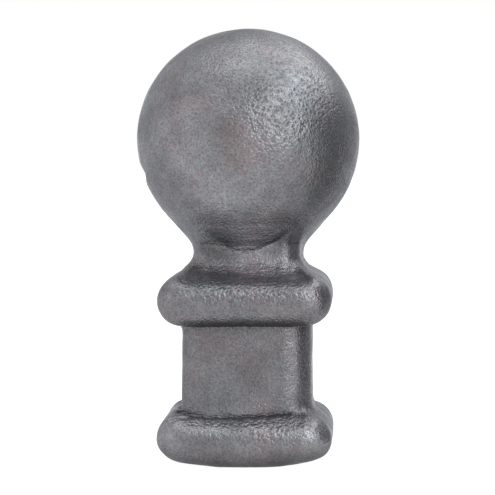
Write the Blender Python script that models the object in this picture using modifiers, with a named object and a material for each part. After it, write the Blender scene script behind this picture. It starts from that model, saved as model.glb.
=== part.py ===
# Ball finial for the top of a square fence bar: one solid iron casting.
#
# From the underside up: a base collar with a rounded edge, a short square bar, a top collar
# whose upper side slopes in to a square neck, and a ball whose foot flares into that neck.
# Metres, +Z up. The origin is the middle of the flat underside, and the front faces -Y.

import math

import bmesh
import bpy
from mathutils import Matrix

MM = 0.001

# Square bar
BAR_WIDTH = 25.6 * MM
BAR_LENGTH = 27.4 * MM              # between the middles of the two collars
BAR_ARRIS_RADIUS = 6.2 * MM

# Both collars' corners, seen from above
COLLAR_CORNER_RADIUS = 6.0 * MM
SHARPEST_CORNER = 0.5 * MM          # left where a rounded edge takes up the whole corner

# Base collar: a rounded edge all round, over an underside that is slightly crowned
BASE_WIDTH = 34.64 * MM
BASE_EDGE_RADIUS = 4.85 * MM
BASE_MIDDLE = 5.7 * MM              # height of the collar's widest line
FOOT_WIDTH = 20.0 * MM              # flat that the casting stands on
FOOT_CORNER_RADIUS = 7.0 * MM
CROWN_RADIUS = 100.0 * MM           # of the underside outside the foot

# Top collar and the slope above it
TOP_WIDTH = 34.2 * MM
TOP_EDGE_RADIUS = 5.05 * MM
SLOPE_ANGLE = math.radians(30.2)    # from level

# Square neck, with a hollow fillet where the slope runs into it
NECK_WIDTH = 21.1 * MM
NECK_ARRIS_RADIUS = 4.0 * MM
NECK_FILLET_RADIUS = 4.5 * MM

# Ball, and the cone and fillet below it that lead into the neck
BALL_RADIUS = 22.22 * MM
BALL_RISE = 31.4 * MM               # ball's centre above the top collar's widest line
CONE_ANGLE = math.radians(41.8)     # from upright
CONE_FILLET_RADIUS = 5.45 * MM
FOOT_TUCK = 0.2 * MM                # how far the ball's round foot hides inside the neck's faces

# Shallow nick that the mould left across the ball's left side, a little below its middle
NICK_LENGTH = 5.2 * MM
NICK_DEPTH = 0.5 * MM
NICK_ANGLE = math.radians(17.5)     # below level

# Facets
BALL_SEGMENTS = 72
BALL_ROWS = 34                      # from the top to where the cone starts
NICK_SEGMENTS = 96
FILLET_STEPS = 6
EDGE_STEPS = 8                      # in a quarter of a collar's rounded edge
ARRIS_STEPS = 6
FACE_STEPS = 4                      # across each flat face
UNDERSIDE_STEPS = 3
SHARP_EDGE = math.radians(40)

IRON_COLOUR = (0.165, 0.155, 0.160, 1.0)
IRON_ROUGHNESS = 0.48
IRON_METALLIC = 0.85

top_middle = BASE_MIDDLE + BAR_LENGTH
ball_centre = top_middle + BALL_RISE


def clear_scene():
    for obj in list(bpy.data.objects):
        bpy.data.objects.remove(obj)


def new_collection(name):
    collection = bpy.data.collections.new(name)
    bpy.context.scene.collection.children.link(collection)
    return collection


def cast_iron():
    material = bpy.data.materials.new("cast_iron")
    material.use_nodes = True
    shader = material.node_tree.nodes["Principled BSDF"]
    shader.inputs["Base Color"].default_value = IRON_COLOUR
    shader.inputs["Roughness"].default_value = IRON_ROUGHNESS
    shader.inputs["Metallic"].default_value = IRON_METALLIC
    return material


def add_object(name, mesh, material, collection):
    mesh.materials.append(material)
    mesh.shade_smooth()
    mesh.set_sharp_from_angle(angle=SHARP_EDGE)
    obj = bpy.data.objects.new(name, mesh)
    collection.objects.link(obj)
    return obj


def as_guide(obj):
    obj.hide_render = True
    obj.display_type = "WIRE"
    return obj


def rounded_square(half, corner):
    """Points round a square of this half-width, corner by corner, anticlockwise from above."""
    points = []
    inner = half - corner
    for quarter in range(4):
        turn = quarter * math.pi / 2
        cos, sin = math.cos(turn), math.sin(turn)
        side = []
        for step in range(ARRIS_STEPS + 1):
            angle = step / ARRIS_STEPS * math.pi / 2
            side.append((inner + corner * math.cos(angle), inner + corner * math.sin(angle)))
        for step in range(1, FACE_STEPS):
            side.append((inner - 2 * inner * step / FACE_STEPS, half))
        for x, y in side:
            points.append((x * cos - y * sin, x * sin + y * cos))
    return points


def level_ring(half, corner, height):
    return [(x, y, height) for x, y in rounded_square(half, corner)]


def crowned_ring(half, corner, height, share):
    """A rounded square that has come down by this share from its height to the crowned underside."""
    ring = []
    for x, y, z in level_ring(half, corner, height):
        underside = (x * x + y * y - (FOOT_WIDTH / 2) ** 2) / (2 * CROWN_RADIUS)
        ring.append((x, y, z + (underside - z) * share))
    return ring


def collar_edge(width, edge_radius, angle):
    """Half-width and corner radius of a collar at this angle round its edge, from its widest line."""
    inset = edge_radius * (1 - math.cos(angle))
    return width / 2 - inset, max(COLLAR_CORNER_RADIUS - inset, SHARPEST_CORNER)


def loft(name, levels):
    """A closed mesh through a stack of rings, lowest first, with a flat face on each end."""
    work = bmesh.new()
    rings = []
    for level in levels:
        rings.append([work.verts.new(point) for point in level])
    for lower, upper in zip(rings, rings[1:]):
        for i in range(len(lower)):
            after = (i + 1) % len(lower)
            work.faces.new((lower[i], lower[after], upper[after], upper[i]))
    work.faces.new(list(reversed(rings[0])))
    work.faces.new(rings[-1])
    mesh = bpy.data.meshes.new(name)
    work.to_mesh(mesh)
    work.free()
    return mesh


def base_collar():
    levels = [level_ring(FOOT_WIDTH / 2, FOOT_CORNER_RADIUS, 0)]

    # Underside, from the flat foot out to the rounded edge
    half, corner = collar_edge(BASE_WIDTH, BASE_EDGE_RADIUS, math.pi / 2)
    for step in range(1, UNDERSIDE_STEPS):
        share = step / UNDERSIDE_STEPS
        between = FOOT_WIDTH / 2 + (half - FOOT_WIDTH / 2) * share
        turned = FOOT_CORNER_RADIUS + (corner - FOOT_CORNER_RADIUS) * share
        levels.append(crowned_ring(between, turned, 0, 1.0))

    # The lower half of the edge runs down to the crown, and the upper half is round
    for step in range(EDGE_STEPS):
        angle = math.pi / 2 * (1 - step / EDGE_STEPS)
        half, corner = collar_edge(BASE_WIDTH, BASE_EDGE_RADIUS, angle)
        levels.append(crowned_ring(half, corner, BASE_MIDDLE, math.sin(angle)))
    for step in range(EDGE_STEPS + 1):
        angle = math.pi / 2 * step / EDGE_STEPS
        half, corner = collar_edge(BASE_WIDTH, BASE_EDGE_RADIUS, angle)
        levels.append(level_ring(half, corner, BASE_MIDDLE + BASE_EDGE_RADIUS * math.sin(angle)))
    return loft("base_collar", levels)


def square_bar():
    """The bar runs from the middle of one collar to the middle of the other."""
    work = bmesh.new()
    bmesh.ops.create_cube(work, size=1.0)
    bmesh.ops.scale(work, vec=(BAR_WIDTH, BAR_WIDTH, BAR_LENGTH), verts=work.verts)
    bmesh.ops.translate(work, vec=(0, 0, BASE_MIDDLE + BAR_LENGTH / 2), verts=work.verts)
    upright = [edge for edge in work.edges if abs(edge.verts[0].co.z - edge.verts[1].co.z) > BAR_LENGTH / 2]
    bmesh.ops.bevel(
        work, geom=upright, offset=BAR_ARRIS_RADIUS, segments=ARRIS_STEPS, profile=0.5, affect="EDGES"
    )
    mesh = bpy.data.meshes.new("bar")
    work.to_mesh(mesh)
    work.free()
    return mesh


def top_collar():
    """The top collar, the slope above it and the neck, which ends inside the ball."""
    levels = []
    steepest = math.pi / 2 - SLOPE_ANGLE
    for step in range(2 * EDGE_STEPS + 1):
        angle = -math.pi / 2 + (steepest + math.pi / 2) * step / (2 * EDGE_STEPS)
        half, corner = collar_edge(TOP_WIDTH, TOP_EDGE_RADIUS, angle)
        levels.append(level_ring(half, corner, top_middle + TOP_EDGE_RADIUS * math.sin(angle)))

    # The slope's line meets the neck's face here, and the hollow fillet rounds that corner
    slope_half, corner = collar_edge(TOP_WIDTH, TOP_EDGE_RADIUS, steepest)
    slope_foot = top_middle + TOP_EDGE_RADIUS * math.sin(steepest)
    meeting = slope_foot + (slope_half - NECK_WIDTH / 2) * math.tan(SLOPE_ANGLE)
    fillet_top = meeting + NECK_FILLET_RADIUS * math.tan(steepest / 2)
    for step in range(FILLET_STEPS + 1):
        angle = steepest * (1 - step / FILLET_STEPS)
        half = NECK_WIDTH / 2 + NECK_FILLET_RADIUS * (1 - math.cos(angle))
        height = fillet_top - NECK_FILLET_RADIUS * math.sin(angle)
        levels.append(level_ring(half, NECK_ARRIS_RADIUS, height))
    levels.append(level_ring(NECK_WIDTH / 2, NECK_ARRIS_RADIUS, ball_centre))
    return loft("top_collar", levels)


def ball_profile():
    """Half the ball's outline at +X, from its top down to the foot inside the neck, as (radius, height)."""
    profile = []
    for step in range(BALL_ROWS + 1):
        angle = math.pi / 2 - (math.pi / 2 + CONE_ANGLE) * step / BALL_ROWS
        profile.append((BALL_RADIUS * math.cos(angle), ball_centre + BALL_RADIUS * math.sin(angle)))
    profile[0] = (0.0, ball_centre + BALL_RADIUS)

    # The cone leaves the ball on its tangent and ends where the fillet starts
    cone_radius, cone_height = profile[-1]
    foot_radius = NECK_WIDTH / 2 - FOOT_TUCK
    fillet_radius = foot_radius + CONE_FILLET_RADIUS * (1 - math.cos(CONE_ANGLE))
    fillet_start = cone_height - (cone_radius - fillet_radius) / math.tan(CONE_ANGLE)
    foot_height = fillet_start - CONE_FILLET_RADIUS * math.sin(CONE_ANGLE)
    for step in range(FILLET_STEPS + 1):
        angle = CONE_ANGLE * (1 - step / FILLET_STEPS)
        radius = foot_radius + CONE_FILLET_RADIUS * (1 - math.cos(angle))
        profile.append((radius, foot_height + CONE_FILLET_RADIUS * math.sin(angle)))
    profile.append((0.0, foot_height))
    return profile


def turned_ball(material, collection):
    points = [(radius, 0.0, height) for radius, height in ball_profile()]
    edges = [(i, i + 1) for i in range(len(points) - 1)]
    mesh = bpy.data.meshes.new("ball")
    mesh.from_pydata(points, edges, [])
    ball = add_object("ball", mesh, material, collection)
    screw = ball.modifiers.new("turn", "SCREW")
    screw.axis = "Z"
    screw.steps = BALL_SEGMENTS
    screw.render_steps = BALL_SEGMENTS
    screw.use_merge_vertices = True
    screw.merge_threshold = 0.00001
    screw.use_smooth_shade = True
    return as_guide(ball)


def nick_cutter(material, collection):
    """A rod along Y that bites into the ball's side by NICK_DEPTH over NICK_LENGTH."""
    half = NICK_LENGTH / 2
    hump = BALL_RADIUS - math.sqrt(BALL_RADIUS**2 - half**2)
    bite = NICK_DEPTH - hump
    radius = (half**2 + bite**2) / (2 * bite)
    work = bmesh.new()
    bmesh.ops.create_cone(
        work, cap_ends=True, segments=NICK_SEGMENTS, radius1=radius, radius2=radius, depth=BALL_RADIUS,
        matrix=Matrix.Rotation(math.pi / 2, 4, "X"),
    )
    mesh = bpy.data.meshes.new("nick")
    work.to_mesh(mesh)
    work.free()
    nick = add_object("nick", mesh, material, collection)
    reach = BALL_RADIUS - NICK_DEPTH + radius
    nick.location = (-reach * math.cos(NICK_ANGLE), 0, ball_centre - reach * math.sin(NICK_ANGLE))
    return as_guide(nick)


def add_boolean(obj, name, operation, other):
    boolean = obj.modifiers.new(name, "BOOLEAN")
    boolean.operation = operation
    boolean.solver = "EXACT"
    boolean.object = other


def main():
    clear_scene()
    finial = new_collection("ball_finial")
    guides = new_collection("finial_guides")
    iron = cast_iron()

    casting = add_object("ball_finial", base_collar(), iron, finial)
    bar = as_guide(add_object("bar", square_bar(), iron, guides))
    top = as_guide(add_object("top_collar", top_collar(), iron, guides))
    add_boolean(casting, "bar", "UNION", bar)
    add_boolean(casting, "top_collar", "UNION", top)
    add_boolean(casting, "ball", "UNION", turned_ball(iron, guides))
    add_boolean(casting, "nick", "DIFFERENCE", nick_cutter(iron, guides))


main()
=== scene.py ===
import math

import bpy
import numpy as np
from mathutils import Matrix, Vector, noise


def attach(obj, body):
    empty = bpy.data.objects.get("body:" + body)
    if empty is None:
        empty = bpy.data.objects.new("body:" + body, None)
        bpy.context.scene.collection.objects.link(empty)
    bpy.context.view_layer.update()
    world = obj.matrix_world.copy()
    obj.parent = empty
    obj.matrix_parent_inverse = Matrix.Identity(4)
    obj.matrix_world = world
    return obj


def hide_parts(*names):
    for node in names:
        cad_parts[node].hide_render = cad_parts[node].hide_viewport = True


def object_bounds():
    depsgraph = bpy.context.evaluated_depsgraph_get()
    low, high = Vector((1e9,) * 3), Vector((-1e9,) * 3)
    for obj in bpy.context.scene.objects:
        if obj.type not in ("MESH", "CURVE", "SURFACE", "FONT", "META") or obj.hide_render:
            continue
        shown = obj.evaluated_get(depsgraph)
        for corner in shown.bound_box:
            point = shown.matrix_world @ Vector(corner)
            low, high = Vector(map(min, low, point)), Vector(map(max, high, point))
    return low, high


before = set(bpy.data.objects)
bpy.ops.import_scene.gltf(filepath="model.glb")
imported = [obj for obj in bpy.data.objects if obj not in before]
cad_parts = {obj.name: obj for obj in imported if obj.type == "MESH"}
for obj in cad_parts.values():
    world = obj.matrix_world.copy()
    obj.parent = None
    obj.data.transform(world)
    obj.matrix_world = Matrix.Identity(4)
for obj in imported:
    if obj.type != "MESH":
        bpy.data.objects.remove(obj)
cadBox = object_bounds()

mm = 0.001

# The casting, in millimetres, as the frame has it. Angles are in degrees.
finial = {
    "barWidth": 25.6,
    "barArris": 6.2,
    "barLength": 27.4,       # between the collars' widest lines
    "collarCorner": 6.0,
    "baseWidth": 34.64,
    "baseEdge": 4.85,
    "baseMiddle": 5.7,
    "footWidth": 20.0,
    "crownRadius": 100.0,
    "topWidth": 34.2,
    "topEdge": 5.05,
    "slope": 30.2,
    "neckWidth": 21.1,
    "neckArris": 4.0,
    "neckFillet": 4.5,
    "ballRadius": 22.22,
    "ballRise": 31.4,        # ball's centre above the top collar's widest line
    "coneAngle": 41.8,
    "coneFillet": 5.45,
    "footTuck": 0.2,
}
topMiddle = finial["baseMiddle"] + finial["barLength"]
ballCentre = topMiddle + finial["ballRise"]

# How the casting strays from the drawing. The pattern was worn and its halves never met quite true.
# Right and left are as seen from the front. A wave is its share, its rate and where it starts.
stray = {
    "baseShift": -0.05,      # each part's shift to the right
    "barShift": 0.21,
    "topShift": -0.06,
    "neckShift": 0.29,
    "ballShift": 0.14,
    "crownSwell": 0.08,      # the ball's upper half is larger by this
    "crownStart": 4.0,       # fully so from this far above its middle
    "crownFade": 8.0,        # and less again over this height
    "crownEnd": 2.0,         # which ends this far above the ball's top
    "slopeWave": 0.07,       # how far the front slope's lower edge wanders
    "slopeWaves": ((1, 1.3, 0.4), (0.7, 3.1, 1.2)),
    "slopeSoft": 0.5,        # softness of that edge
    "topTilt": 0.6,          # degrees, right side up
    "barFlare": 0.07,        # wider at its foot, narrower at its head
    "barSwell": 0.08,        # added to the bar on each side
    "topSwell": 0.1,         # and to the top collar
    "ballDrop": 0.05,
    "slopeDrop": 0.4,        # the front slope lies this much lower than the others
    "frontWear": 0.1,        # taken off the front of both collars
    "shoulderWear": 0.14,    # taken off the base collar's upper front edge
    "shoulderAngle": 52.0,
    "heelLift": 0.35,        # the underside's right end rises by this
    "heelStart": 4.0,        # beyond this x
    "heelReach": 10.0,
    "neckTurn": 4.0,         # degrees that the left half of the neck's front is turned back
    "neckTurnStart": -1.4,
    "neckSwell": 0.02,       # the neck's front swells towards its foot, per millimetre squared
    "neckSwellTop": 44.5,    # from this height down
    "neckSwellReach": 6.0,
    "neckSwellAcross": (1.0, 8.0),
    "neckSwellEdge": 2.5,
    "soft": 0.22,            # softness of the inner corners
    "crisp": 0.14,           # softness of the outer ones
    "foldRadius": 0.09,      # channel along a line where two forms lap
    "foldSoft": 0.3,         # softness of its edges
    "foldWave": 0.14,        # how far that line wanders
    "foldWaves": ((1, 2.1, 0.5), (0.6, 4.7, 1.9)),
    "leftShoulder": 0.35,    # the base collar's left shoulder is fuller by this
    "leftStart": 12.0,       # beyond this far to the left
    "leftReach": 3.0,
}

# How softly the bar runs into the collars at each x
barSoftness = {
    "topAcross": (-12.5, -10.5, 10.5, 12.5),
    "top": (1.5, 0.22, 0.22, 0.22),
    "baseAcross": (-12.5, -10.5, 8.0, 11.5),
    "base": (0.3, 0.3, 0.3, 2.2),
}

# How much larger the fillet at the neck's foot is at each x
neckFoot = {"x": (-11.0, -8.0), "larger": (1.2, 1.0)}

# Flats struck on the front right corners: which way they face, in degrees from the front, and how deep
# they cut. The neck's cuts deeper by its lean for each millimetre above a height.
flats = {
    "neck": {"angle": 47.0, "depth": 0.13, "soft": 0.2, "lean": 0.08, "leanHeight": 42.0},
    "top": {"angle": 58.0, "depth": 0.09, "soft": 0.14},
    "bar": {"angle": 55.0, "depth": 0.04, "soft": 0.5},
    "base": {"angle": 57.0, "depth": 0.08, "soft": 0.14},
}

# A slit on the base collar's left shoulder, and the nick on the ball's left side
slit = {"start": (-14.8, -14.0, 9.6), "end": (-10.0, -13.3, 10.4), "radius": 0.5}
nick = {
    "length": 5.2,
    "depth": 0.95,
    "angle": 17.6,           # below level
    "turn": 3.0,
    "ledge": 0.08,           # a small step in its slope
    "ledgeAlong": (-0.9, -0.3),
    "ledgeEdge": 0.2,
    "overrun": 0.5,          # how far the cut runs on past the ball's skin
}

# How far the bar's front crease runs above its drawn height at each x, and how far that spreads beside it
creaseLine = {
    "x": (-12.0, -8.0, 0.0, 5.0, 8.0, 12.0),
    "lift": (-0.1, -0.35, -0.25, 0.35, 0.8, 0.6),
    "reach": 2.5,
}

# How softly the ball's foot runs into the front of the neck at each x, and into its other sides
lapSoftness = {
    "x": (-8.0, -3.0, 6.5, 9.5),
    "soft": (2.4, 0.2, 0.2, 1.5),
    "others": 2.0,
    "frontEnd": -8.0,        # the front's softness holds as far back as this
    "frontFade": 6.0,
}

# Lumps left by the sand: their size and height in millimetres, and a place in the noise for each
lumps = (
    {"size": 8.0, "height": 0.12, "place": (3.1, 7.7, 1.9)},
    {"size": 3.6, "height": 0.05, "place": (8.3, 2.1, 5.2)},
    {"size": 1.7, "height": 0.03, "place": (1.4, 9.2, 6.6)},
)

# Where the front shows fine streaks: upright ones drawn on the neck, and level ones on the slope and at
# the lap. Each lies between two heights and two sides, fades beyond them, and ends at its front line.
streaks = {
    "neck": {"z": (39.6, 43.2), "zFade": 1.0, "x": (-1.5, 9.0), "xFade": 2.0, "front": -8.0},
    "slope": {"z": (36.3, 39.2), "zFade": 0.5, "x": (-20.0, 20.0), "xFade": 1.0, "front": -8.0},
    "lap": {"z": (43.4, 47.5), "zFade": 0.6, "x": (-9.0, 8.0), "xFade": 1.5, "front": -6.0},
}

# Spots on the front, some stains and many painted highlights and painted shade: where their middles are, how
# wide they are, how much brighter or darker the iron is painted there, and how much warmer its tint
spots = (
    {"at": (2.6, -20.0, 73.9), "radius": 4.0, "shade": -0.28},
    {"at": (9.3, -17.5, 74.0), "radius": 3.4, "shade": 0.28, "warm": -0.1},
    {"at": (-2.7, -21.9, 66.7), "radius": 2.6, "shade": -0.08, "warm": 0.1},
    {"at": (0.4, -22.1, 62.2), "radius": 3.5, "warm": 0.32},
    {"at": (-10.0, -18.8, 58.3), "radius": 4.5, "shade": 0.22, "warm": -0.05},
    {"at": (-3.2, -19.2, 53.0), "radius": 4.8, "shade": 0.34, "warm": -0.05},
    {"at": (9.6, -13.0, 48.5), "radius": 4.0, "shade": -0.32, "warm": 0.06},
    {"at": (8.0, -10.5, 44.6), "radius": 1.6, "shade": -0.36},
    {"at": (-6.0, -10.5, 43.2), "radius": 3.4, "shade": -0.28},
    {"at": (-8.6, -10.0, 44.4), "radius": 2.4, "shade": -0.3},
    {"at": (5.8, -10.8, 43.5), "radius": 2.0, "shade": -0.3},
    {"at": (11.2, -12.0, 47.6), "radius": 2.6, "shade": -0.2},
    {"at": (14.2, -7.5, 38.0), "radius": 3.0, "shade": -0.35},
    {"at": (10.0, -13.2, 37.0), "radius": 2.0, "shade": 0.5},
    {"at": (13.2, -13.6, 36.2), "radius": 1.7, "shade": -0.35},
    {"at": (16.6, -9.0, 34.5), "radius": 3.0, "shade": 0.5},
    {"at": (-12.0, -16.0, 34.4), "radius": (4.0, 3.0, 1.5), "shade": 0.14},
    {"at": (0.4, -12.2, 44.7), "radius": 2.2, "shade": 0.3, "warm": 0.1},
    {"at": (1.2, -12.3, 38.7), "radius": 3.0, "shade": 0.35, "warm": 0.1},
    {"at": (14.0, -12.5, 51.0), "radius": 4.5, "shade": -0.12},
    {"at": (12.4, -9.0, 46.5), "radius": 2.4, "shade": -0.35},
    {"at": (15.0, -12.5, 32.5), "radius": 3.0, "shade": 0.3},
    {"at": (12.8, -15.5, 6.9), "radius": 2.6, "shade": 0.35, "warm": -0.05},
    {"at": (-15.5, -13.0, 33.0), "radius": 4.0, "shade": 0.18},
    {"at": (-16.0, -13.0, 6.0), "radius": 4.0, "shade": 0.18},
    {"at": (-8.5, -14.4, 10.0), "radius": (6.0, 3.0, 2.0), "shade": 0.7},
    {"at": (2.0, -14.8, 9.6), "radius": 3.6, "shade": 0.3, "warm": 0.1},
    {"at": (-1.0, -12.8, 21.0), "radius": 6.0, "shade": -0.1, "warm": 0.08},
    {"at": (-8.0, -17.2, 6.4), "radius": 4.0, "shade": -0.2},
    {"at": (2.2, -19.3, 75.2), "radius": 2.2, "shade": -0.15},
    {"at": (-9.5, -12.8, 13.5), "radius": 4.0, "shade": -0.14},
    {"at": (-10.0, -8.6, 82.4), "radius": 5.0, "shade": 0.14},
    {"at": (15.0, -9.5, 77.5), "radius": 4.0, "shade": 0.42},
    {"at": (17.5, -12.0, 64.5), "radius": 3.5, "shade": 0.14},
    {"at": (4.2, -19.8, 72.0), "radius": 2.4, "shade": -0.12},
    {"at": (-4.5, -10.4, 42.2), "radius": 2.2, "shade": -0.18},
    {"at": (7.6, -10.6, 44.8), "radius": 1.6, "shade": -0.2},
    {"at": (0.0, -14.2, 29.8), "radius": (14.0, 3.0, 1.3), "shade": 0.14},
    {"at": (-1.0, -16.4, 35.4), "radius": (12.0, 3.0, 1.3), "shade": 0.12, "warm": -0.1},
    {"at": (0.0, -17.0, 8.0), "radius": (14.0, 3.0, 2.5), "warm": -0.1},
    {"at": (15.5, -13.0, 33.2), "radius": 3.0, "shade": 0.2},
    {"at": (12.6, -9.0, 27.0), "radius": 3.5, "shade": 0.14},
    {"at": (7.6, -12.8, 20.0), "radius": (1.6, 2.0, 9.0), "shade": -0.11},
    {"at": (10.3, -12.2, 21.0), "radius": (1.2, 2.0, 10.0), "shade": 0.16},
    {"at": (-12.3, -12.0, 28.0), "radius": 3.0, "shade": 0.14},
    {"at": (12.6, -17.4, 68.0), "radius": 3.2, "shade": -0.14},
    {"at": (10.6, -16.3, 75.6), "radius": 2.4, "shade": 0.28},
    {"at": (7.0, -18.0, 72.0), "radius": 9.0, "warm": -0.2},
    {"at": (8.0, -15.5, 2.2), "radius": 3.0, "shade": -0.25},
)

# Places where the skin stands out or falls in: their middles, how far they reach, and by how much
swellings = (
    {"at": (17.0, 0.0, 2.6), "reach": (2.0, 30.0, 1.1), "rise": 0.28},
    {"at": (12.8, -8.0, 1.0), "reach": (2.5, 20.0, 0.8), "rise": -0.14},
    {"at": (-12.2, 0.0, 39.2), "reach": (2.0, 30.0, 0.8), "rise": 0.22},
)

# Where the sand left coarser pits: the middles and how far they reach
pitted = (
    {"at": (7.0, -18.0, 72.5), "reach": (11.0, 20.0, 10.0)},
    {"at": (6.0, -17.0, 8.0), "reach": (14.0, 8.0, 3.0)},
    {"at": (0.0, -17.0, 35.0), "reach": (14.0, 6.0, 2.2)},
)

# Rays that the skin is found along, and its rows on each form from the foot to the top
skin = {
    "columns": 344,
    "underside": 20,
    "baseEdge": 40,
    "bar": 44,
    "topEdge": 36,
    "slope": 14,
    "skirt": 34,
    "ball": 90,
    "searchSteps": 26,
    "furthest": 34.0,
    "firstRing": 0.6,        # radius that the rows start from
    "clear": 0.1,            # left between the collars' rows and the bar's
    "capRise": 0.004,        # height of the top point above the last row
    "cornerReaches": (0.6, 2.0, 6.0),    # how far out from the skin its corners are looked for
}


def within(value, low, high, edge):
    # 1 between two limits, falling to 0 over an edge on either side
    return np.clip((value - low) / edge + 1, 0, 1) * np.clip((high - value) / edge + 1, 0, 1)


def wander(x, waves):
    # how a line strays from straight along its length
    return sum(share * np.sin(rate * x + start) for share, rate, start in waves)


def closeness(points, mark, width):
    # 1 at a mark's middle, dying away round it
    return np.exp(-(((points - mark["at"]) / mark[width]) ** 2).sum(1))


# Distances, in millimetres, negative inside the iron

def roundedSquare(x, y, half, corner):
    u = np.abs(x) - (half - corner)
    v = np.abs(y) - (half - corner)
    outside = np.hypot(np.maximum(u, 0), np.maximum(v, 0))
    return outside + np.minimum(np.maximum(u, v), 0) - corner


def joined(a, b, soft):
    # union of two forms with a small soft corner where they meet
    h = np.maximum(soft - np.abs(a - b), 0) / soft
    return np.minimum(a, b) - h * h * soft / 4


def trimmed(a, b, soft):
    # what two forms share, with a slightly worn edge
    h = np.maximum(soft - np.abs(a - b), 0) / soft
    return np.maximum(a, b) + h * h * soft / 4


def filleted(a, b, reach):
    # union with a hollow fillet that ends this far from either form
    near = np.hypot(np.maximum(reach - a, 0), np.maximum(reach - b, 0))
    return np.maximum(reach, np.minimum(a, b)) - near


def folded(a, b, soft, radius):
    # union with a fine channel along the line where the forms meet
    return trimmed(joined(a, b, soft), radius - np.hypot(a, b), np.minimum(soft, stray["foldSoft"]))


def struck(shape, x, y, half, corner, flat):
    # a flat on the front right corner of a rounded square
    turn = math.radians(flat["angle"])
    reach = (half - corner) * (math.sin(turn) + math.cos(turn)) + corner - flat["depth"]
    return trimmed(shape, x * math.sin(turn) - y * math.cos(turn) - reach, flat["soft"])


def baseCollar(x, y, z):
    x = x - stray["baseShift"]
    edge = finial["baseEdge"]
    core = finial["baseWidth"] / 2 - edge
    corner = finial["collarCorner"] - edge
    plate = struck(roundedSquare(x, y, core, corner), x, y, core, corner, flats["base"])
    under = (x * x + y * y - (finial["footWidth"] / 2) ** 2) / (2 * finial["crownRadius"])
    under = under + stray["heelLift"] * np.clip((x - stray["heelStart"]) / stray["heelReach"], 0, 1) ** 2
    beside = np.maximum(roundedSquare(x, y, finial["barWidth"] / 2, finial["barArris"]), 0)
    wave = stray["foldWave"] * wander(x, stray["foldWaves"])
    lift = np.interp(x, creaseLine["x"], creaseLine["lift"]) + wave
    lift = lift * np.exp(-beside / creaseLine["reach"]) * (y < 0)
    lift = lift + stray["leftShoulder"] * np.clip((-x - stray["leftStart"]) / stray["leftReach"], 0, 1)
    rise = z - finial["baseMiddle"]
    lower = rise * edge / (finial["baseMiddle"] - under)
    upper = rise * edge / (edge + lift)
    body = np.hypot(np.maximum(plate, 0), np.where(rise < 0, lower, upper)) - edge
    turn = math.radians(stray["shoulderAngle"])
    shoulder = (-y - core) * math.cos(turn) + upper * math.sin(turn) - edge + stray["shoulderWear"]
    body = trimmed(body, shoulder, stray["crisp"])
    body = trimmed(body, -y - core - edge + stray["frontWear"], stray["crisp"])
    return np.maximum(body, -z)


def squareBar(x, y, z):
    x = x - stray["barShift"]
    middle = (finial["baseMiddle"] + topMiddle) / 2
    half = finial["barWidth"] / 2
    flare = stray["barFlare"] * (middle - z) / (finial["barLength"] / 2)
    side = roundedSquare(x, y, half, finial["barArris"])
    side = struck(side, x, y, half, finial["barArris"], flats["bar"]) - flare - stray["barSwell"]
    return np.maximum(side, np.abs(z - middle) - finial["barLength"] / 2)


def topCollar(x, y, z):
    x = x - stray["topShift"]
    rise = z - x * math.tan(math.radians(stray["topTilt"])) - topMiddle
    edge = finial["topEdge"]
    slope = math.radians(finial["slope"])
    core = finial["topWidth"] / 2 - edge + stray["topSwell"]
    corner = finial["collarCorner"] - edge
    plate = struck(roundedSquare(x, y, core, corner), x, y, core, corner, flats["top"])
    bead = np.hypot(np.maximum(plate, 0), rise) - edge
    half = core + (edge - rise * math.cos(slope)) / math.sin(slope)
    roof = roundedSquare(x, y, half, finial["neckArris"]) * math.sin(slope)
    body = np.minimum(bead, np.maximum(roof, edge * math.cos(slope) - rise))
    drop = stray["slopeDrop"] + stray["slopeWave"] * wander(x, stray["slopeWaves"])
    lowered = (-y - core) * math.sin(slope) + (rise + drop) * math.cos(slope) - edge
    body = trimmed(body, lowered, stray["slopeSoft"])
    return trimmed(body, -y - core - edge + stray["frontWear"], stray["crisp"])


def squareNeck(x, y, z):
    x = x - stray["neckShift"]
    half = finial["neckWidth"] / 2
    front = y < 0
    turned = np.maximum(stray["neckTurnStart"] - x, 0) * math.tan(math.radians(stray["neckTurn"])) * front
    swell = stray["neckSwell"] * np.clip(stray["neckSwellTop"] - z, 0, stray["neckSwellReach"]) ** 2
    swell = swell * within(x, *stray["neckSwellAcross"], stray["neckSwellEdge"]) * front
    side = roundedSquare(x, y - turned + swell, half, finial["neckArris"])
    flat = dict(flats["neck"])
    flat["depth"] = flat["depth"] + flat["lean"] * (z - flat["leanHeight"])
    side = struck(side, x, y, half, finial["neckArris"], flat)
    middle = (topMiddle + ballCentre) / 2
    return np.maximum(side, np.abs(z - middle) - finial["ballRise"] / 2)


def crownSwell(up, radius):
    fade = np.clip((radius + stray["crownEnd"] - up) / stray["crownFade"], 0, 1)
    return stray["crownSwell"] * np.clip(up / stray["crownStart"], 0, 1) * fade


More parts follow.
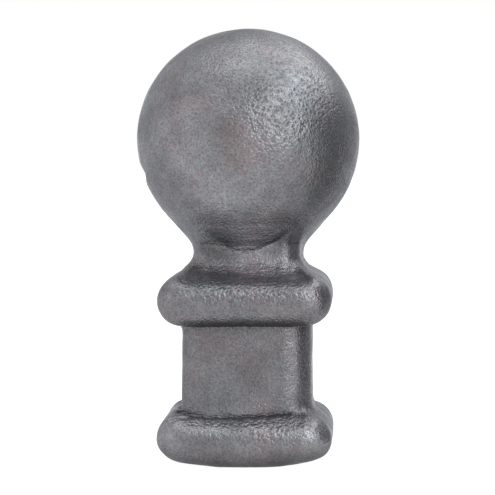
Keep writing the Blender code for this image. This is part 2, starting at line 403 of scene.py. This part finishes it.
def turnedBall(x, y, z):
    z = z + stray["ballDrop"]
    radius = finial["ballRadius"]
    cone = math.radians(finial["coneAngle"])
    fillet = finial["coneFillet"]
    foot = finial["neckWidth"] / 2 - finial["footTuck"]
    share = np.clip((z - topMiddle) / finial["ballRise"], 0, 1)
    shift = stray["neckShift"] + (stray["ballShift"] - stray["neckShift"]) * share
    r = np.hypot(x - shift, y)
    up = z - ballCentre
    ball = np.hypot(r, up) - radius - crownSwell(up, radius)

    # skirt below the ball: a cone on its tangent, then a fillet that ends upright at the foot
    coneTop = -radius * math.sin(cone)
    filletRadius = foot + fillet * (1 - math.cos(cone))
    filletTop = coneTop - (radius * math.cos(cone) - filletRadius) / math.tan(cone)
    footHeight = filletTop - fillet * math.sin(cone)
    onCone = (r - filletRadius - (up - filletTop) * math.tan(cone)) * math.cos(cone)
    lift = np.clip(up - footHeight, 0, fillet * math.sin(cone))
    onFillet = r - foot - fillet + np.sqrt(fillet**2 - lift**2)
    side = np.where(up > filletTop, onCone, onFillet)
    skirt = np.maximum(side, np.maximum(footHeight - up, up - coneTop))
    return np.minimum(ball, skirt)


def nickHollow(x, y, z):
    # a shallow V that runs straight across the ball's left side, from front to back
    half = nick["length"] / 2
    bottom = finial["ballRadius"] - nick["depth"]
    edge = math.sqrt(finial["ballRadius"] ** 2 - half**2)
    steep = math.atan2(edge - bottom, half)
    angle = math.radians(nick["angle"])
    turn = math.radians(nick["turn"])
    side = -x * math.cos(turn) - y * math.sin(turn)
    down = ballCentre - stray["ballDrop"] - z
    out = side * math.cos(angle) + down * math.sin(angle)
    along = down * math.cos(angle) - side * math.sin(angle)
    ledge = nick["ledge"] * within(along, *nick["ledgeAlong"], nick["ledgeEdge"])
    planes = (bottom + ledge - out) * math.cos(steep) + np.abs(along) * math.sin(steep)
    return np.maximum(planes, np.abs(along) - half - nick["overrun"])


def slitHollow(x, y, z):
    start = np.array(slit["start"])
    along = np.array(slit["end"]) - start
    share = (x - start[0]) * along[0] + (y - start[1]) * along[1] + (z - start[2]) * along[2]
    share = np.clip(share / along.dot(along), 0, 1)
    dx = x - start[0] - share * along[0]
    dy = y - start[1] - share * along[1]
    dz = z - start[2] - share * along[2]
    return np.sqrt(dx * dx + dy * dy + dz * dz) - slit["radius"]


def casting(x, y, z):
    soft = stray["soft"]
    turn = math.pi / 2 - math.radians(finial["slope"])
    reach = finial["neckFillet"] * math.tan(turn / 2) * math.sin(turn)
    reach = reach * np.interp(x, neckFoot["x"], neckFoot["larger"])
    top = filleted(topCollar(x, y, z), squareNeck(x, y, z), reach)
    softFoot = np.interp(x, barSoftness["baseAcross"], barSoftness["base"])
    shape = folded(baseCollar(x, y, z), squareBar(x, y, z), softFoot, stray["foldRadius"])
    shape = joined(shape, top, np.interp(x, barSoftness["topAcross"], barSoftness["top"]))
    front = np.clip((y - lapSoftness["frontEnd"]) / lapSoftness["frontFade"], 0, 1)
    lap = np.interp(x, lapSoftness["x"], lapSoftness["soft"])
    lap = lap + (lapSoftness["others"] - lap) * front
    shape = joined(shape, turnedBall(x, y, z), lap)
    shape = trimmed(shape, -slitHollow(x, y, z), soft)
    return trimmed(shape, -nickHollow(x, y, z), soft)


def profileRows():
    # start height on the axis, aimed radius and aimed height of each row of the skin, from the foot up
    rows = []

    def run(count, start, radius, height):
        for i in range(count):
            share = (i + 0.5) / count
            rows.append((start(share), radius(share), height(share)))

    middle = finial["baseMiddle"]
    edge = finial["baseEdge"]
    inner = finial["baseWidth"] / 2 - edge
    bar = finial["barWidth"] / 2
    first = skin["firstRing"]
    run(skin["underside"], lambda s: middle, lambda s: first + (inner - first) * s, lambda s: 0)
    run(skin["baseEdge"], lambda s: middle, lambda s: inner + edge * math.cos(math.pi * (s - 0.5)),
        lambda s: middle + edge * math.sin(math.pi * (s - 0.5)))
    low = middle + edge + skin["clear"]
    edge = finial["topEdge"]
    high = topMiddle - edge - skin["clear"]
    run(skin["bar"], lambda s: middle + (topMiddle - middle) * s, lambda s: bar,
        lambda s: low + (high - low) * s)
    inner = finial["topWidth"] / 2 - edge
    steep = math.pi / 2 - math.radians(finial["slope"])
    turn = math.pi / 2 + steep
    run(skin["topEdge"], lambda s: topMiddle, lambda s: inner + edge * math.cos(turn * s - math.pi / 2),
        lambda s: topMiddle + edge * math.sin(turn * s - math.pi / 2))
    slopeFoot = topMiddle + edge * math.sin(steep)
    slopeHalf = inner + edge * math.cos(steep)
    neck = finial["neckWidth"] / 2
    rise = (slopeHalf - neck) * math.tan(math.radians(finial["slope"]))
    run(skin["slope"], lambda s: topMiddle, lambda s: slopeHalf + (neck - slopeHalf) * s,
        lambda s: slopeFoot + rise * s)
    slopeTop = slopeFoot + rise
    ball = finial["ballRadius"]
    cone = math.radians(finial["coneAngle"])
    skirtTop = ballCentre - ball * math.sin(cone)
    widening = ball * math.cos(cone) - neck
    run(skin["skirt"], lambda s: topMiddle + (ballCentre - topMiddle) * s, lambda s: neck + widening * s * s,
        lambda s: slopeTop + (skirtTop - slopeTop) * s)
    run(skin["ball"], lambda s: ballCentre, lambda s: ball * math.cos(-cone + (math.pi / 2 + cone) * s),
        lambda s: ballCentre + ball * math.sin(-cone + (math.pi / 2 + cone) * s))
    return np.array(rows)


def findSkin():
    # walks out along each ray to where the iron ends
    rows = profileRows()
    angles = np.arange(skin["columns"]) * 2 * math.pi / skin["columns"]
    start, radius, height = (rows[:, i][:, None] for i in range(3))
    length = np.hypot(radius, height - start)
    across = radius / length
    up = (height - start) / length
    dx = across * np.cos(angles)
    dy = across * np.sin(angles)
    inside = np.zeros(dx.shape)
    outside = np.full(dx.shape, skin["furthest"])
    for _ in range(skin["searchSteps"]):
        middle = (inside + outside) / 2
        solid = casting(dx * middle, dy * middle, start + up * middle) < 0
        inside = np.where(solid, middle, inside)
        outside = np.where(solid, outside, middle)
    return dx * inside, dy * inside, start + up * inside


def outward(x, y, z):
    # the way out of the iron at each point, and how steeply the distance grows along it
    step = 0.02
    ways = (
        casting(x + step, y, z) - casting(x - step, y, z),
        casting(x, y + step, z) - casting(x, y - step, z),
        casting(x, y, z + step) - casting(x, y, z - step),
    )
    steepness = np.sqrt(ways[0] ** 2 + ways[1] ** 2 + ways[2] ** 2)
    return [way / steepness for way in ways], steepness / (2 * step)


def openness(x, y, z, way, steepness):
    # 1 where the iron lies open, less the deeper a point sits in a corner
    total = np.zeros(x.shape)
    for reach in skin["cornerReaches"]:
        ahead = casting(x + way[0] * reach, y + way[1] * reach, z + way[2] * reach)
        total += np.clip(ahead / (reach * steepness), 0, 1)
    return total / len(skin["cornerReaches"])


def streaked(x, y, z, streak):
    share = within(z, *streak["z"], streak["zFade"]) * (y < streak["front"])
    return share * within(x, *streak["x"], streak["xFade"])


def lumpHeights(points):
    heights = np.zeros(len(points))
    for lump in lumps:
        size = lump["size"]
        place = Vector(lump["place"])
        heights += [noise.noise(Vector(point) / size + place) * lump["height"] for point in points.tolist()]
    return heights


def skinFaces(rows, columns):
    # bands of four-sided faces, closed by a fan at the foot and another at the top
    bottom = rows * columns
    top = bottom + 1
    faces = []
    for row in range(rows - 1):
        lower = row * columns
        upper = lower + columns
        for i in range(columns):
            after = (i + 1) % columns
            faces.append((lower + i, lower + after, upper + after, upper + i))
    last = (rows - 1) * columns
    for i in range(columns):
        after = (i + 1) % columns
        faces.append((bottom, after, i))
        faces.append((last + i, last + after, top))
    return faces


def skinMesh(name):
    x, y, z = findSkin()
    rows, columns = x.shape
    way, steepness = outward(x, y, z)
    # how open each point lies; the material paints shade into corners and creases from it
    hollow = openness(x, y, z, way, steepness)
    drawn = streaked(x, y, z, streaks["neck"])
    lapped = np.maximum(streaked(x, y, z, streaks["slope"]), streaked(x, y, z, streaks["lap"]))
    points = np.stack([x, y, z], -1).reshape(-1, 3)
    stainsAndPaintedLight = np.zeros(len(points))
    warmth = np.zeros(len(points))
    # stains, painted highlights and painted shade gathered from the spots
    for spot in spots:
        share = closeness(points, spot, "radius")
        stainsAndPaintedLight += spot.get("shade", 0) * share
        warmth += spot.get("warm", 0) * share
    coarse = np.zeros(len(points))
    for place in pitted:
        coarse = np.maximum(coarse, closeness(points, place, "reach"))
    heights = lumpHeights(points)
    for place in swellings:
        heights += place["rise"] * closeness(points, place, "reach")
    points = points + np.stack(way, -1).reshape(-1, 3) * heights[:, None]
    points[:, 2] = np.maximum(points[:, 2], 0)    # no lump stands out below the foot
    ends = [[0, 0, z[0].mean()], [x[-1].mean(), y[-1].mean(), z[-1].max() + skin["capRise"]]]
    points = np.concatenate([points, ends]) * mm
    mesh = bpy.data.meshes.new(name)
    mesh.from_pydata(points.tolist(), [], skinFaces(rows, columns))
    layers = {"open": hollow, "drawn": drawn, "lapped": lapped, "stainsAndPaintedLight": stainsAndPaintedLight, "warmth": warmth,
              "coarse": coarse}
    for layer, values in layers.items():
        values = values.reshape(-1)
        atEnds = [values[:columns].mean(), values[-columns:].mean()]
        mesh.attributes.new(layer, "FLOAT", "POINT").data.foreach_set("value", np.append(values, atEnds))
    mesh.validate()
    mesh.shade_smooth()
    return mesh


# The iron's surface. Sizes and heights are in millimetres.
iron = {
    "grainSize": 0.5,
    "grainHeight": 0.088,
    "fineSize": 0.3,
    "fineHeight": 0.067,
    "pitSize": 0.55,
    "pitHeight": 0.035,
    "coarseSize": 0.85,
    "coarseHeight": 0.11,
    "coarseShade": 0.36,     # how much darker the coarse pits' middles are
    "coarseRim": 0.09,       # and how much brighter their rims
    "pitReach": (0.1, 0.6),  # where a pit starts to rise and where it ends, from its middle
    "coarseReach": (0.15, 0.6),
    "mottleSize": 1.8,
    "mottleShade": (0.93, 1.07),
    "cloudSize": 6.0,
    "noiseReach": (0.3, 0.7),            # values of the noise that give the two shades
    "tintSize": 8.0,
    "speckSize": 0.8,        # of the small changes of tint
    "slowTint": 0.6,         # how far the wide changes of tint go
    "speckTint": 0.65,       # and the small ones
    "tintStops": (0.3, 0.48, 0.72),      # of the cool, plain and warm grey
    "streakSize": 0.9,
    "uprightStretch": (1, 1, 4.0),
    "levelStretch": (4.0, 1, 0.8),
    "streakHeight": 0.09,
    "metallic": 0.9,
    "roughness": (0.2, 0.47),            # where it is glossy and where dull
    "sheenReach": (0.75, 1.25),          # of clouds and fine grain together
    "heelPaintedShade": 0.54,       # painted shade: the edge over the underside is darker, up to this height
    "heelPaintedShadeHeight": (1.0, 4.5),
    "cornerPaintedShade": 0.66,     # painted shade, deep in a corner
    "cornerPaintedShadeEnd": 0.4,        # openness of the deepest corners, where the painted shade is darkest
    "stainsAndPaintedLightReach": 0.6,      # how far a spot's painted light and stain can go either way
    "drawnShade": 1.07,
    # painted light, lifting the shade on the lapped slope and at the lap
    "lappedPaintedLight": 1.2,
    "stemShade": 0.88,       # the bar rubbed less in the tumbler than the ball and the foot did
    "stemTop": (36.0, 40.0),
    "stemFoot": (8.0, 10.5),
    "pitShade": (0.76, 1.06),
    "fineShade": (0.83, 1.17),
    "cloudShade": (0.86, 1.15),
    "cool": (0.142, 0.148, 0.155, 1),
    "plain": (0.144, 0.142, 0.15, 1),
    "warm": (0.146, 0.129, 0.135, 1),
    "edgeTint": (0.55, 0.57, 0.6, 1),    # of the sheen at a glancing angle
}


def rawCastIron():
    material = bpy.data.materials.new("raw_cast_iron")
    material.use_nodes = True
    nodes = material.node_tree.nodes
    links = material.node_tree.links
    shader = nodes["Principled BSDF"]
    place = nodes.new("ShaderNodeTexCoord").outputs["Object"]

    def noiseOf(size, detail, stretch=(1, 1, 1), offset=0.0):
        # the offset keeps one noise apart from the next
        mapping = nodes.new("ShaderNodeMapping")
        mapping.inputs["Scale"].default_value = [1 / (size * mm * part) for part in stretch]
        mapping.inputs["Location"].default_value = (offset, offset * 0.7, offset * 1.3)
        texture = nodes.new("ShaderNodeTexNoise")
        texture.inputs["Scale"].default_value = 1.0
        texture.inputs["Detail"].default_value = detail
        links.new(place, mapping.inputs["Vector"])
        links.new(mapping.outputs["Vector"], texture.inputs["Vector"])
        return texture.outputs["Fac"]

    def spread(value, low, high, toLow, toHigh):
        node = nodes.new("ShaderNodeMapRange")
        node.inputs["From Min"].default_value = low
        node.inputs["From Max"].default_value = high
        node.inputs["To Min"].default_value = toLow
        node.inputs["To Max"].default_value = toHigh
        links.new(value, node.inputs["Value"])
        return node.outputs["Result"]

    def combined(operation, a, b):
        node = nodes.new("ShaderNodeMath")
        node.operation = operation
        links.new(a, node.inputs[0])
        links.new(b, node.inputs[1])
        return node.outputs["Value"]

    def layer(name):
        node = nodes.new("ShaderNodeAttribute")
        node.attribute_name = name
        return node.outputs["Fac"]

    def bumped(height, depth, under=None):
        node = nodes.new("ShaderNodeBump")
        node.inputs["Distance"].default_value = depth * mm
        links.new(height, node.inputs["Height"])
        if under:
            links.new(under, node.inputs["Normal"])
        return node.outputs["Normal"]

    grain = noiseOf(iron["grainSize"], 2.0)
    fine = noiseOf(iron["fineSize"], 1.0, offset=4.0)
    cells = nodes.new("ShaderNodeTexVoronoi")
    cells.inputs["Scale"].default_value = 1 / (iron["pitSize"] * mm)
    links.new(place, cells.inputs["Vector"])
    pits = spread(cells.outputs["Distance"], *iron["pitReach"], 0, 1)
    wide = nodes.new("ShaderNodeTexVoronoi")
    wide.inputs["Scale"].default_value = 1 / (iron["coarseSize"] * mm)
    links.new(place, wide.inputs["Vector"])
    sunk = spread(wide.outputs["Distance"], *iron["coarseReach"], 1, 0)
    hollowed = combined("MULTIPLY", sunk, layer("coarse"))
    clouds = noiseOf(iron["cloudSize"], 4.0, offset=2.0)
    mottle = noiseOf(iron["mottleSize"], 2.0, offset=8.0)
    upright = noiseOf(iron["streakSize"], 2.0, iron["uprightStretch"], 5.0)
    upright = combined("MULTIPLY", upright, layer("drawn"))
    level = noiseOf(iron["streakSize"], 2.0, iron["levelStretch"], 7.0)
    level = combined("MULTIPLY", level, layer("lapped"))

    # colour: slow changes from a cool to a warm grey, clouded, darker in pits, with painted shade in corners
    # and along the foot's edge, painted light on the lapped slope, and stains, painted highlights and
    # painted shade at the spots
    tint = nodes.new("ShaderNodeValToRGB")
    coolStop, plainStop, warmStop = iron["tintStops"]
    tint.color_ramp.elements[0].position = coolStop
    tint.color_ramp.elements[0].color = iron["cool"]
    tint.color_ramp.elements[1].position = warmStop
    tint.color_ramp.elements[1].color = iron["warm"]
    tint.color_ramp.elements.new(plainStop).color = iron["plain"]
    specks = spread(noiseOf(iron["speckSize"], 2.0, offset=3.0), 0, 1, -iron["speckTint"], iron["speckTint"])
    coolest = (1 - iron["slowTint"]) / 2
    slow = spread(noiseOf(iron["tintSize"], 3.0, offset=6.0), 0, 1, coolest, 1 - coolest)
    slow = combined("ADD", slow, layer("warmth"))
    links.new(combined("ADD", slow, specks), tint.inputs["Fac"])
    shade = spread(clouds, *iron["noiseReach"], *iron["cloudShade"])
    shade = combined("MULTIPLY", shade, spread(pits, 0, 1, *iron["pitShade"]))
    shade = combined("MULTIPLY", shade, spread(fine, *iron["noiseReach"], *iron["fineShade"]))
    shade = combined("MULTIPLY", shade, spread(mottle, *iron["noiseReach"], *iron["mottleShade"]))
    coarse = spread(hollowed, 0, 1, 1 + iron["coarseRim"], 1 - iron["coarseShade"])
    shade = combined("MULTIPLY", shade, coarse)
    # painted shade: darker in corners and creases, where shade falls
    shade = combined("MULTIPLY", shade, spread(layer("open"), iron["cornerPaintedShadeEnd"], 1, iron["cornerPaintedShade"], 1))
    shade = combined("MULTIPLY", shade, spread(layer("drawn"), 0, 1, 1, iron["drawnShade"]))
    # painted light: the lapped slope and lap are made lighter where shade falls
    shade = combined("MULTIPLY", shade, spread(layer("lapped"), 0, 1, 1, iron["lappedPaintedLight"]))
    height = nodes.new("ShaderNodeSeparateXYZ")
    links.new(place, height.inputs["Vector"])
    above = spread(height.outputs["Z"], *(value * mm for value in iron["stemTop"]), 0, 1)
    below = spread(height.outputs["Z"], *(value * mm for value in iron["stemFoot"]), 1, 0)
    shade = combined("MULTIPLY", shade, spread(combined("ADD", above, below), 0, 1, iron["stemShade"], 1))
    # painted shade along the foot's lower edge, over the underside
    paintedHeelShade = spread(height.outputs["Z"], *(value * mm for value in iron["heelPaintedShadeHeight"]), iron["heelPaintedShade"], 1)
    shade = combined("MULTIPLY", shade, paintedHeelShade)
    # painted highlights and painted shade, with stains, from the spots
    most = iron["stainsAndPaintedLightReach"]
    shade = combined("MULTIPLY", shade, spread(layer("stainsAndPaintedLight"), -most, most, 1 - most, 1 + most))
    colour = nodes.new("ShaderNodeVectorMath")
    colour.operation = "SCALE"
    links.new(tint.outputs["Color"], colour.inputs[0])
    links.new(shade, colour.inputs["Scale"])
    links.new(colour.outputs["Vector"], shader.inputs["Base Color"])

    # sheen: glossier on the high grains, duller between them
    glossy, dull = iron["roughness"]
    gloss = spread(combined("ADD", clouds, fine), *iron["sheenReach"], dull, glossy)
    links.new(gloss, shader.inputs["Roughness"])
    shader.inputs["Specular Tint"].default_value = iron["edgeTint"]
    shader.inputs["Metallic"].default_value = iron["metallic"]

    normal = bumped(combined("ADD", upright, level), iron["streakHeight"])
    normal = bumped(pits, iron["pitHeight"], normal)
    normal = bumped(spread(hollowed, 0, 1, 1, 0), iron["coarseHeight"], normal)    # turned over, to sink
    normal = bumped(grain, iron["grainHeight"], normal)
    links.new(bumped(fine, iron["fineHeight"], normal), shader.inputs["Normal"])
    return material


def buildFinial():
    mesh = skinMesh("cast_finial")
    mesh.materials.append(rawCastIron())
    piece = bpy.data.objects.new("cast_finial", mesh)
    bpy.context.scene.collection.objects.link(piece)
    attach(piece, "root")
    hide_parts("ball_finial")
    print("casting:", len(mesh.polygons), "faces")


def direction(azimuth, elevation):
    # the way from the finial, in degrees to the right of its front and above level
    a = math.radians(azimuth)
    e = math.radians(elevation)
    return Vector((math.sin(a) * math.cos(e), -math.cos(a) * math.cos(e), math.sin(e)))


# Camera: a long lens a little right of the front and just above the finial's middle
camera = {
    "azimuth": 3.01,
    "elevation": 3.39,
    "distance": 414.6,
    "pivotHeight": 40.77,    # the camera circles this point of the axis
    "aimHeight": 42.88,
    "lens": 149.8,
    "sensor": 36.0,
}


def placeCamera():
    data = bpy.data.cameras.new("camera")
    data.lens = camera["lens"]
    data.sensor_width = camera["sensor"]
    data.clip_start = 0.01
    data.clip_end = 20
    obj = bpy.data.objects.new("camera", data)
    bpy.context.scene.collection.objects.link(obj)
    back = direction(camera["azimuth"], camera["elevation"])
    obj.location = (Vector((0, 0, camera["pivotHeight"])) + back * camera["distance"]) * mm
    aim = Vector((0, 0, camera["aimHeight"])) * mm
    obj.rotation_mode = "QUATERNION"
    obj.rotation_quaternion = (aim - obj.location).to_track_quat("-Z", "Y")
    bpy.context.scene.camera = obj
    print("camera placed")


# Studio: a white table and white surroundings, with soft lamps
studio = {
    "floorRadius": 3.0,      # in metres
    "floorColour": (0.2, 0.2, 0.2, 1),
    "floorGlow": 0.97,
    "farGlow": 0.2,          # added to it from the far distance on, in metres
    "farDistance": 0.6,
    "surroundings": 1.08,    # the white that lights the finial
    "backdrop": 1.0,         # and the white that the camera sees
}


def layFloor():
    radius = studio["floorRadius"]
    sides = 64
    rim = [(radius * math.cos(i * 2 * math.pi / sides), radius * math.sin(i * 2 * math.pi / sides), 0)
           for i in range(sides)]
    mesh = bpy.data.meshes.new("floor")
    mesh.from_pydata(rim, [], [tuple(range(sides))])
    material = bpy.data.materials.new("white_table")
    material.use_nodes = True
    nodes = material.node_tree.nodes
    links = material.node_tree.links
    shader = nodes["Principled BSDF"]
    shader.inputs["Base Color"].default_value = studio["floorColour"]
    shader.inputs["Roughness"].default_value = 0.9
    shader.inputs["Specular IOR Level"].default_value = 0.0
    place = nodes.new("ShaderNodeTexCoord")
    distance = nodes.new("ShaderNodeVectorMath")
    distance.operation = "LENGTH"
    glow = nodes.new("ShaderNodeMapRange")
    glow.inputs["From Max"].default_value = studio["farDistance"]
    glow.inputs["To Min"].default_value = studio["floorGlow"]
    glow.inputs["To Max"].default_value = studio["floorGlow"] + studio["farGlow"]
    links.new(place.outputs["Object"], distance.inputs[0])
    links.new(distance.outputs["Value"], glow.inputs["Value"])
    shader.inputs["Emission Color"].default_value = (1, 1, 1, 1)
    links.new(glow.outputs["Result"], shader.inputs["Emission Strength"])
    mesh.materials.append(material)
    floor = bpy.data.objects.new("floor", mesh)
    bpy.context.scene.collection.objects.link(floor)


# Soft lamps round the finial: where each stands, in degrees to the right of its front and above the table,
# its width and height in metres, and its brightness
lamps = {
    "key": {"azimuth": 36, "elevation": 26, "width": 0.5, "height": 0.66, "brightness": 3.15,
            "colour": (0.95, 0.97, 1.0)},
    "small": {"azimuth": 84, "elevation": 46, "width": 0.28, "height": 0.28, "brightness": 2.15,
              "colour": (0.78, 0.87, 1.0)},
    "highBack": {"azimuth": 135, "elevation": 54, "width": 0.7, "height": 0.38, "brightness": 2.07},
    "backLeft": {"azimuth": -150, "elevation": 10, "width": 0.3, "height": 0.45, "brightness": 0.27},
    "left": {"azimuth": -66, "elevation": 16, "width": 0.7, "height": 0.42, "brightness": 0.67},
    "farLeft": {"azimuth": -115, "elevation": 10, "width": 0.6, "height": 0.42, "brightness": 0.35},
    "highLeft": {"azimuth": -85, "elevation": 52, "width": 0.8, "height": 0.36, "brightness": 0.3},
    "overhead": {"azimuth": 0, "elevation": 86, "width": 0.7, "height": 0.7, "brightness": 1.46},
    "backRight": {"azimuth": 158, "elevation": 20, "width": 0.3, "height": 0.45, "brightness": 0.18},
    "front": {"azimuth": -6, "elevation": 44, "width": 0.5, "height": 0.36, "brightness": 0.65},
}
lampDistance = 0.75    # metres

# A dark card that curves round the finial's right side, leans away from it and shows only in the iron's
# sheen. Its ends are in degrees to the right of the front, and its lengths in metres.
card = {
    "footFrom": 79,
    "footTo": 108,
    "headFrom": 57,
    "headTo": 121,
    "footDistance": 0.055,
    "headDistance": 0.12,
    "height": 0.112,
    "steps": 12,
    "colour": (0.11, 0.11, 0.11, 1),
}


def setLamps():
    middle = Vector((0, 0, cadBox[1][2] / 2))
    for name, values in lamps.items():
        data = bpy.data.lights.new(name, "AREA")
        data.shape = "RECTANGLE"
        data.size = values["width"]
        data.size_y = values["height"]
        data.color = values.get("colour", (1, 1, 1))
        data.energy = values["brightness"] * math.pi * data.size * data.size_y
        lamp = bpy.data.objects.new(name, data)
        towards = direction(values["azimuth"], values["elevation"])
        lamp.location = middle + towards * lampDistance
        lamp.rotation_mode = "QUATERNION"
        lamp.rotation_quaternion = towards.to_track_quat("Z", "Y")
        lamp.visible_camera = False
        bpy.context.scene.collection.objects.link(lamp)


def standCard():
    points = []
    for i in range(card["steps"] + 1):
        share = i / card["steps"]
        low = direction(card["footFrom"] + (card["footTo"] - card["footFrom"]) * share, 0)
        high = direction(card["headFrom"] + (card["headTo"] - card["headFrom"]) * share, 0)
        points.append(low * card["footDistance"] + Vector((0, 0, mm)))
        points.append(high * card["headDistance"] + Vector((0, 0, card["height"])))
    faces = [(2 * i, 2 * i + 2, 2 * i + 3, 2 * i + 1) for i in range(card["steps"])]
    mesh = bpy.data.meshes.new("dark_card")
    mesh.from_pydata(points, [], faces)
    material = bpy.data.materials.new("dark_card")
    material.use_nodes = True
    shader = material.node_tree.nodes["Principled BSDF"]
    shader.inputs["Base Color"].default_value = card["colour"]
    shader.inputs["Roughness"].default_value = 0.9
    mesh.materials.append(material)
    stand = bpy.data.objects.new("dark_card", mesh)
    stand.visible_camera = False
    stand.visible_diffuse = False
    stand.visible_shadow = False
    bpy.context.scene.collection.objects.link(stand)


def setStudio():
    layFloor()
    standCard()
    setLamps()
    world = bpy.data.worlds.new("studio")
    world.use_nodes = True
    nodes = world.node_tree.nodes
    links = world.node_tree.links
    surround = nodes["Background"]
    surround.inputs["Color"].default_value = (1, 1, 1, 1)
    surround.inputs["Strength"].default_value = studio["surroundings"]
    backdrop = nodes.new("ShaderNodeBackground")
    backdrop.inputs["Strength"].default_value = studio["backdrop"]
    backdrop.inputs["Color"].default_value = (1, 1, 1, 1)
    seen = nodes.new("ShaderNodeLightPath")
    mix = nodes.new("ShaderNodeMixShader")
    links.new(seen.outputs["Is Camera Ray"], mix.inputs["Fac"])
    links.new(surround.outputs["Background"], mix.inputs[1])
    links.new(backdrop.outputs["Background"], mix.inputs[2])
    links.new(mix.outputs["Shader"], nodes["World Output"].inputs["Surface"])
    bpy.context.scene.world = world
    bpy.context.scene.view_settings.view_transform = "Standard"
    print("studio set")


def writeSizes():
    print("sizes: nothing done")


placeCamera()
buildFinial()
setStudio()
writeSizes()
